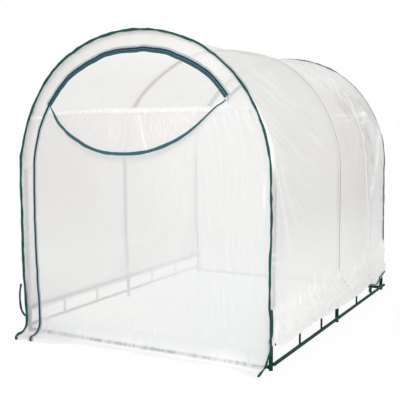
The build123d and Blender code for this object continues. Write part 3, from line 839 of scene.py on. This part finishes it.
def surround_points(rows, columns):
    """The strip outside the zip: up its left leg, over the crown to the slider, and on down the
    right to the seam. u goes from the zip to the piping."""
    leg = SPRING - FOOT_TOP
    arc = (math.pi - ZIP_END) * FILM_R
    end_rows = 14
    s = np.concatenate([np.zeros(FOOT_ROWS), np.linspace(0, leg + arc, rows),
                        np.full(end_rows, leg + arc)])
    share = np.concatenate([np.linspace(1, 0, FOOT_ROWS, endpoint=False), np.zeros(rows + end_rows)])
    last = np.concatenate([np.zeros(FOOT_ROWS + rows), np.linspace(0, 1, end_rows + 1)[1:]])
    s, share, last = (a[:, None] for a in (s, share, last))
    u = np.linspace(0, 1, columns)[None, :]
    turn = np.clip((s - leg) / FILM_R, 0, math.pi - ZIP_END)
    r = ZIP_R + (PANEL_R - ZIP_R) * u
    x = -np.cos(turn) * r
    z = SPRING + np.sin(turn) * r + np.minimum(s - leg, 0)
    end_turn = ZIP_END * (1 - last) + math.asin((SEAM - SPRING) / PANEL_R) * last
    inner_z = (SPRING + ZIP_R * math.sin(ZIP_END)) * (1 - last) + SEAM * last
    outer_z = SPRING + PANEL_R * np.sin(end_turn)
    x = np.where(last > 0, ZIP_R * math.cos(ZIP_END) * (1 - u) + PANEL_R * np.cos(end_turn) * u, x)
    z = np.where(last > 0, inner_z * (1 - u) + outer_z * u, z)
    along = (s + last * 0.1) / (leg + arc + 0.1)
    rise = z - FOOT_TOP * share
    out = 0.0035 * np.sin(math.pi * u) * (1.2 + waves(along, u, 41, 60, 2))
    out = out + 0.0024 * creases(along + 0.02 * u, u, 42, 120, 2)
    out = out + 0.0030 * creases(rise / 2, u, 43, 60, 2) * fall(rise, 0.10, 0.26)
    x, y, z = panel_place(x, z, share, out, FRONT)
    crown = ramp(z, SPRING - 0.1, SPRING + 0.3)
    seam_end = peak(z, SEAM - 0.034, 0.006) * fall(x, -0.7, -0.5)
    layers = (0.8 * ramp(u, 0.88, 0.9) + 0.5 * fall(u, 0.12, 0.14) - 0.20 + 0.30 * crown
              + 1.5 * seam_end + 0.30 * fall(x, -0.7, -0.5) * fall(z, 1.05, 1.25)
              + 0.35 * fall(rise, 0.12, 0.22)
              + 0.6 * fall(rise, 0.01, 0.06) * (1 + waves(x * 3 % 1, rise * 9 % 1, 44, 12, 12)))
    right_end = ramp(x, 0.1, 0.6)
    return (xyz(x, y, z), layers,
            np.maximum(0.45 * fall(rise, 0.01, 0.05), 0.45 * right_end + 0.8 * seam_end),
            0.24 * ramp(x, 0.50, 0.72) * ramp(z, 1.45, 1.60))


points, layers, backed_and_lit, shade = surround_points(rows=300, columns=16)
surround = lay_sheet("door_surround", points, strip_film, layers, backed_and_lit, shade)
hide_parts("front_surround_left", "front_surround_right",
            *[f"front_surround_top_{i}" for i in range(1, 5)])


def rear_points(rows, columns):
    """The rear panel: columns go up to the arch, spaced evenly round it, with its skirt below."""
    u = np.linspace(-1, 1, columns)[None, :]
    x = PANEL_R * np.sin(u * math.pi / 2)
    top = SPRING + PANEL_R * np.cos(u * math.pi / 2)
    share, t = with_foot(30, np.linspace(0, 1, rows))
    z = np.where(share > 0, FOOT_TOP, FOOT_TOP + (top - FOOT_TOP) * t)
    rise = z - FOOT_TOP * share
    across, up = (x / PANEL_R + 1) / 2, rise / (SPRING + PANEL_R)
    edge = np.clip((PANEL_R - np.hypot(x, np.maximum(z - SPRING, 0))) / 0.2, 0, 1)
    out = edge * (0.008 + 0.006 * waves(across, up, 51, 6, 5)) * ramp(z, FOOT_TOP, 0.4)
    out += 0.0025 * edge * (1 + waves(across + 0.1 * up, up, 52, 50, 8))
    out += foot_creases(across, rise, share, 53)
    x, y, z = panel_place(x, z, share, out, REAR)
    return (xyz(x, y, z), 0.9 * ramp(share, 0.90, 0.92) + 0.3 * fall(rise, 0.1, 0.3),
            fall(rise, 0.02, 0.08))


points, layers, backed_and_lit = rear_points(rows=150, columns=160)
rear = lay_sheet("rear_sheet", points, door_film, layers, backed_and_lit, flip=True)
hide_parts("rear_panel", "rear_skirt")

# ---- Vent flap ------------------------------------------------------------------------------------
FLAP_LEFT, FLAP_RIGHT = -0.645, 0.622
FLAP_MIDDLE = -0.07


def flap_edge(x):
    """Height of the flap's lower edge: a shallow bowl, steepest just before its left root, and easing
    off as it comes up to the slider on the right."""
    left = np.clip((FLAP_MIDDLE - x) / (FLAP_MIDDLE - FLAP_LEFT), 0, 1)
    right = np.clip((x - FLAP_MIDDLE) / (FLAP_RIGHT - FLAP_MIDDLE), 0, 1)
    rise = (0.25 * left ** 2.35 + 0.042 * left ** 12 + 0.335 * right ** 2.3
            + 0.009 * peak(left, 0.62, 0.2)
            + 0.011 * peak(right, 0.84, 0.14) - 0.020 * ramp(right, 0.9, 1.0))
    return FLAP_LOW + rise


def flap_points(rows, columns):
    """The flap: up from the seam, over a soft roll outwards, then down to its bound edge, standing
    further out towards the middle of that edge. Its right half has a hard slanting crease and a fan
    of fine ones, and the welded seam shows as a mottled band under the fold."""
    u = np.linspace(0, 1, columns)[None, :]
    x = FLAP_LEFT + (FLAP_RIGHT - FLAP_LEFT) * u
    turn = np.linspace(0, math.pi, 18)[:, None]
    radius = 0.0095 + 0.003 * line_waves(u, 61, 14)
    bottom = flap_edge(x)
    fold = np.maximum(FLAP_TOP - 0.004 - radius - seam_drop(x), bottom + 0.004)
    y_roll = FRONT_Y - radius * (1 - np.cos(turn))
    z_roll = fold + radius * np.sin(turn)
    share = np.linspace(0, 1, 5)[:-1, None]
    z_rise = (SEAM - seam_drop(x)) * (1 - share) + fold * share
    t = np.linspace(0, 1, rows)[1:, None]
    z_fall = fold * (1 - t) + bottom * t
    depth = (fold - bottom) / (FLAP_TOP - FLAP_LOW)
    lean = 0.050 * depth * t ** 1.3
    wrinkle = (waves(u + 0.05 * (t - 0.5), t, 62, 26, 2) * 0.004
               + waves(u - 0.03 * t, t, 63, 60, 3) * 0.0015) * ramp(t, 0.0, 0.25) * ramp(depth, 0, 0.4)
    wrinkle = wrinkle + 0.007 * (creases(u + 0.02 * t, t / 2, 64, 22, 2) * ramp(depth, 0.5, 0.9)
                                 * np.sin(math.pi * t))
    y_fall = FRONT_Y - 2 * radius - lean - np.maximum(wrinkle, -0.006)
    hard = peak(x, 0.022 + 0.090 * t, 0.005) * ramp(t, 0.05, 0.2)
    fan = creases(u - 0.05 * t, t / 2, 66, 74, 3) ** 3 * within(x, 0.05, 0.12, 0.26, 0.42)
    hard = hard + 0.42 * fan * within(t, 0.02, 0.12, 0.50, 0.95)
    near_fold = peak(t * (fold - bottom), 0, 0.022) * ramp(depth, 0.0, 0.3)
    hard = hard + 0.32 * near_fold * creases(u + 0.04 * t, t * 2 % 1, 67, 90, 5) * fall(x, -0.05, 0.35)
    y_fall = y_fall - 0.004 * hard
    y = np.concatenate([FRONT_Y + 0 * z_rise, y_roll, y_fall])
    z = np.concatenate([z_rise, z_roll, z_fall])
    hard = np.concatenate([0 * z_rise, 0 * z_roll, hard])
    weld = ramp(z - FLAP_TOP + seam_drop(x) + 0.036, 0.0, 0.004)
    mottle = 0.5 + 0.5 * waves(u, z * 23 % 1, 68, 110, 7)
    return (xyz(x, y, z), weld * (0.3 + 0.7 * mottle) + 1.1 * hard,
            0.8 * hard + weld * (0.10 + 0.50 * mottle))


def bound_edge(line):
    """The binding: a flat band carried along the flap's lower edge, a little above it and across the
    film, narrower towards both roots and uneven along its length."""
    face, down = carried_frame(line, BACK)
    share = np.linspace(0, 1, len(line))
    size = (0.55 + 0.45 * ramp(share, 0.0, 0.04)) * (0.42 + 0.58 * ramp(1 - share, 0.02, 0.30))
    size = size * (1 + 0.10 * line_waves(share, 65, 30))
    return run("flap_edge_binding", line - 0.005 * down, face, down, band(0.021, 0.0036),
               binding_tape, size, stands=False)


points, layers, backed_and_lit = flap_points(rows=60, columns=300)
flap = lay_sheet("folded_flap", points, flap_film, layers, backed_and_lit, stands=False)
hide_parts("vent_flap")
binding = bound_edge(points[-1])
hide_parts("flap_binding")


# ---- Piping ---------------------------------------------------------------------------------------
def piping_run(name, end, radius, tails):
    """Round piping on an end's arch: in along the skirt's side, up a leg, over, and down again. It is
    a little wavy and its thickness goes up and down. The tails are loose ends of the same piping."""
    off = abs(PIPING_Y) - REAR_Y
    share = np.linspace(1.0, 0, 60, endpoint=False)
    middle = arch_path(PIPING_R, end * (REAR_Y + off), FOOT_TOP, 420)[0]
    sides = []
    for hand in (LEFT, RIGHT):
        lift = off + 0.002 * line_waves(share, 79 + hand, 9)
        tucked = 0.034 * ramp(share, 0.05, 0.35) * (hand == RIGHT) * (end == REAR)
        sides.append(xyz(*panel_place(hand * PIPING_R - tucked, FOOT_TOP, share, lift, end)))
    path = np.concatenate([sides[0], middle, sides[1][::-1]])
    angle = np.arctan2(np.maximum(path[:, 2] - SPRING, 0), path[:, 0])
    out, side = carried_frame(path, xyz(np.cos(angle), 0, np.sin(angle)))
    u = np.linspace(0, 1, len(path))
    wobble = (0.0026 * line_waves(u, 71 + end, 64) + 0.0030 * line_waves(u, 73 + end, 22)
              + 0.0014 * line_waves(u, 70 + end, 150))
    path = path + out * wobble[:, None]
    size = 1 + 0.22 * line_waves(u, 75 + end, 110) - 0.20 * ramp(path[:, 0], -0.2, 0.4)
    path[:, 2] = np.maximum(path[:, 2], radius * size + 0.0008)
    if end == REAR:
        size = size - 0.30 * within(np.degrees(angle), 6, 14, 56, 66)
    body = run(name, path, out, side, ring(radius, sides=10), piping_vinyl, size)
    return joined(name, [body] + [loose_tail(f"{name}_tail", route, radius * 0.9) for route in tails])


def loose_tail(name, route, radius):
    """A loose end of piping: a smooth curve near the route's points, a quadratic B-spline."""
    held = np.array([route[0], *route, route[-1]])
    t = np.linspace(0, len(held) - 2 - 1e-6, 12 * (len(held) - 2))
    k, f = np.floor(t).astype(int), (t % 1)[:, None]
    path = (held[k] * (1 - f) ** 2 + held[k + 1] * (1 + 2 * f - 2 * f * f) + held[k + 2] * f * f) / 2
    path = path[np.concatenate([[True], np.linalg.norm(np.diff(path, axis=0), axis=1) > 1e-5])]
    out, side = carried_frame(path, [1.0, 0.02, 0.03])
    share = np.linspace(0, 1, len(path))
    size = 1 + 0.12 * line_waves(share, 77, 14)
    return run(name, path, out, side, ring(radius, sides=10), piping_vinyl, size,
               stands=False)


def tie_band(hand, place, height):
    """A plastic tie round a hoop leg: a flat band carried round a circle, drawn in where it is
    fastened, with a short tail standing off towards the tunnel's middle."""
    turn = np.linspace(0.15, TAU + 0.15, 40)
    radius = HOOP_R + 0.0022 + 0.0010 * np.cos(3 * turn)
    y = HOOP_Y[place] + front_lean(height) * (place == "front")
    path = xyz(hand * (HOOP_X - radius * np.cos(turn)), y + radius * np.sin(turn),
               height + 0.0015 * np.sin(turn))
    tail = np.linspace((-hand * 0.004, 0.002, 0.0), (-hand * 0.024, 0.009, -0.006), 6)
    path = np.concatenate([path, path[-1] + tail])
    out, side = carried_frame(path, UP)
    return run("tie", path, side, out, band(0.016, 0.0018), tie_plastic)


ties = joined("leg_ties", [tie_band(hand, place, height) for place in ("front", "rear")
                           for hand in (LEFT, RIGHT) for height in TIE_HEIGHTS])
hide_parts("hoop_ties")

front_tails = [
    [(-0.921, -1.244, 0.112), (-0.934, -1.248, 0.128), (-0.949, -1.250, 0.150), (-0.958, -1.250, 0.190),
     (-0.962, -1.249, 0.235), (-0.961, -1.248, 0.280), (-0.953, -1.247, 0.315), (-0.951, -1.246, 0.333)],
    [(0.908, -1.249, 0.172), (0.911, -1.253, 0.188), (0.920, -1.254, 0.230), (0.922, -1.254, 0.290),
     (0.920, -1.253, 0.335), (0.915, -1.252, 0.366)],
]
rear_tails = [
    [(0.884, 1.244, 0.200), (0.900, 1.243, 0.186), (0.922, 1.228, 0.176), (0.940, 1.170, 0.168),
     (0.943, 1.060, 0.152), (0.943, 0.965, 0.134), (0.943, 0.925, 0.106), (0.944, 0.868, 0.110),
     (0.944, 0.806, 0.129), (0.943, 0.735, 0.136), (0.942, 0.706, 0.118), (0.941, 0.700, 0.082)],
]
front_piping = piping_run("front_edge_piping", FRONT, 0.0080, front_tails)
rear_piping = piping_run("rear_edge_piping", REAR, 0.0058, rear_tails)
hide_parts("front_piping")
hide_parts("rear_piping")


# ---- Zip ------------------------------------------------------------------------------------------
FACE = np.array([0.0, -1.0, 0.0])                    # the way the front panel faces
ZIP_LEG = SPRING - FOOT_TOP
ZIP_LENGTH = ZIP_LEG + (math.pi - ZIP_END) * ZIP_R
OPEN_TURN = math.radians(34.8)                       # how far up the left of the crown it is closed
OPEN_FROM = (ZIP_LEG + OPEN_TURN * ZIP_R) / ZIP_LENGTH
BAND_STEPS, SKIRT_STEPS = 260, 50


def zip_path(offset, lift, start, end, count, foot=False):
    """Part of the zip's line: up the left leg and round the crown, from start to end along it, with
    small waves. offset is outwards across the line, lift is off the film, and foot adds the way out
    over the skirt."""
    share = np.linspace(start, end, count)
    s = share * ZIP_LENGTH
    turn = np.clip((s - ZIP_LEG) / ZIP_R, 0, math.pi)
    wave = 0.0038 * line_waves(share, 81, 16) + 0.0026 * line_waves(share, 82, 48)
    out = xyz(-np.cos(turn), 0, np.sin(turn))
    reach = ZIP_R + offset - wave
    path = out * reach[:, None] + xyz(0, FRONT_Y - lift, SPRING + np.minimum(s - ZIP_LEG, 0))
    face = np.tile(FACE, (count, 1))
    if foot:
        share = np.linspace(1.0, 0, SKIRT_STEPS, endpoint=False)
        skirt = xyz(*panel_place(path[0, 0], FOOT_TOP, share, lift, FRONT))
        path = np.concatenate([skirt, path])
        low_out, low_face = carried_frame(path, [-1.0, 0.0, 0.0])
        face = np.concatenate([low_face[:SKIRT_STEPS], face])
        out = np.concatenate([low_out[:SKIRT_STEPS], out])
    return path, out, face


def zip_band(name, offset, lift, width, thickness, material, start, end, seed=0, depth=0.0,
             foot=False):
    """A flat band along part of the zip, its width uneven by depth where it has a seed."""
    path, out, face = zip_path(offset, lift, start, end, BAND_STEPS, foot)
    size = 1 + depth * line_waves(np.linspace(0, 1, len(path)), seed, 42)
    return run(name, path, face, out, band(width, thickness), material, size)


for name, offset, lift, width, thickness, material, seed, depth in (
        ("zip_outer_tape", 0.0072, 0.0045, 0.0125, 0.0022, zip_dark, 0, 0.0),
        ("zip_edge_line", -0.0002, 0.0052, 0.0026, 0.0020, zip_facing, 0, 0.0),
        ("zip_inner_line", -0.0040, 0.0050, 0.0054, 0.0024, zip_dark, 0, 0.0),
        ("zip_inner_tape", -0.0108, 0.0052, 0.0100, 0.0026, zip_light, 83, 0.16),
        ("zip_inner_edge", -0.0160, 0.0050, 0.0036, 0.0024, zip_dark, 84, 0.4),
        ("zip_facing_strip", 0.0185, 0.0036, 0.0140, 0.0010, zip_facing, 0, 0.0)):
    zip_band(name, offset, lift, width, thickness, material, OPEN_FROM, 1, seed, depth)
zip_band("zip_closed_margin", -0.002, 0.0036, 0.030, 0.001, zip_facing, 0, OPEN_FROM, foot=True)
closed = zip_band("zip_closed_tape", 0.0, 0.0048, 0.0130, 0.0024, zip_dark, 0, OPEN_FROM, foot=True)
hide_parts("door_zip")


def coil(name, offset, lift, start, end):
    """A zip's nylon coil: a thin rod whose thickness swells once every 3 mm, in four steps."""
    count = int((end - start) * ZIP_LENGTH / (0.003 / 4))
    path, out, face = zip_path(offset, lift, start, end, count)
    swell = 1 + 0.35 * np.sin(np.arange(count) * TAU / 4)
    return run(name, path, face, out, ring(0.0014, sides=5), zip_coil, swell)


def end_tape():
    """The tape that runs on past the slider, straight outwards over the surround to the piping."""
    outwards = np.array([math.cos(ZIP_END - 0.01), 0.0, math.sin(ZIP_END - 0.01)])
    path = (np.linspace(ZIP_R + 0.012, PANEL_R - 0.004, 24)[:, None] * outwards
            + np.array([0.0, FRONT_Y - 0.0060, SPRING]))
    run("zip_end_tape", path, FACE, np.cross(outwards, FACE), band(0.020, 0.0010), faint_tape)


end_tape()
joined("zip_coils", [coil("zip_outer_coil", -0.0015, 0.0062, OPEN_FROM, 1),
                     coil("zip_closed_coil", 0.0, 0.0066, 0, OPEN_FROM)])

# ---- Floor, light and camera ----------------------------------------------------------------------
FLOOR = 40.0                                         # half its width
floor_mesh = bpy.data.meshes.new("floor")
floor_mesh.from_pydata([(-FLOOR, -FLOOR, 0), (FLOOR, -FLOOR, 0), (FLOOR, FLOOR, 0), (-FLOOR, FLOOR, 0)],
                       [], [(0, 1, 2, 3)])
floor = new_object("floor", floor_mesh)
material, tree = new_material("white_floor")
seen = add(tree, "NodeLightPath").outputs["Is Camera Ray"]
place = add(tree, "NodeTexCoord").outputs["Object"]
distance = add(tree, "NodeVectorMath", operation="LENGTH", in0=place).outputs["Value"]
far = add(tree, "NodeMapRange", Value=distance, From_Min=2.0, From_Max=7.0, To_Min=0.93,
          To_Max=1.0).outputs[0]
share = math_node(tree, "MULTIPLY", seen, far)
plain = add(tree, "NodeBsdfDiffuse", Color=(0.92, 0.92, 0.92, 1))
white = add(tree, "NodeEmission", Color=(1, 1, 1, 1), Strength=1.0)
both = mixed_shader(tree, share, plain, white)
add(tree, "NodeOutputMaterial", Surface=both.outputs[0])
floor_mesh.materials.append(material)

world = bpy.data.worlds.new("studio")
world.use_nodes = True
tree = world.node_tree
tree.nodes.clear()
rays = add(tree, "NodeLightPath")
direct = math_node(tree, "MAXIMUM", rays.outputs["Is Camera Ray"], rays.outputs["Is Glossy Ray"])
direct = math_node(tree, "MAXIMUM", direct, rays.outputs["Is Transmission Ray"])
soft = add(tree, "NodeBackground", Color=(0.99, 0.99, 1.0, 1), Strength=0.68)
white = add(tree, "NodeBackground", Color=(1, 1, 1, 1), Strength=1.0)
both = mixed_shader(tree, direct, soft, white)
add(tree, "NodeOutputWorld", Surface=both.outputs[0])
bpy.context.scene.world = world


def lamp(name, place, target, size, power):
    """A soft square lamp at a place, aimed at a target."""
    light = bpy.data.lights.new(name, "AREA")
    light.size, light.energy = size, power
    holder = new_object(name, light)
    aim = np.array(place, float) - np.array(target, float)
    holder.location = place
    holder.rotation_euler = (math.atan2(math.hypot(aim[0], aim[1]), aim[2]), 0,
                             math.atan2(aim[0], -aim[1]))


lamp("key", (3.2, -6.6, 4.4), (0, 0, 1.0), 3.0, 246)
lamp("left", (-5.0, 0.5, 4.5), (0, 0, 1.2), 3.0, 60)
lamp("back", (0.5, 6.8, 2.0), (0, 0, 1.0), 3.0, 80)

camera_data = bpy.data.cameras.new("camera")
camera_data.sensor_width = 36.0
camera_data.lens = 66.81
camera = new_object("camera", camera_data)
camera.location = (2.527, -5.092, 1.398)
camera.rotation_euler = (math.radians(90 - 5.54), math.radians(0.2), math.radians(28.32))
bpy.context.scene.camera = camera
bpy.context.scene.view_settings.view_transform = "Standard"
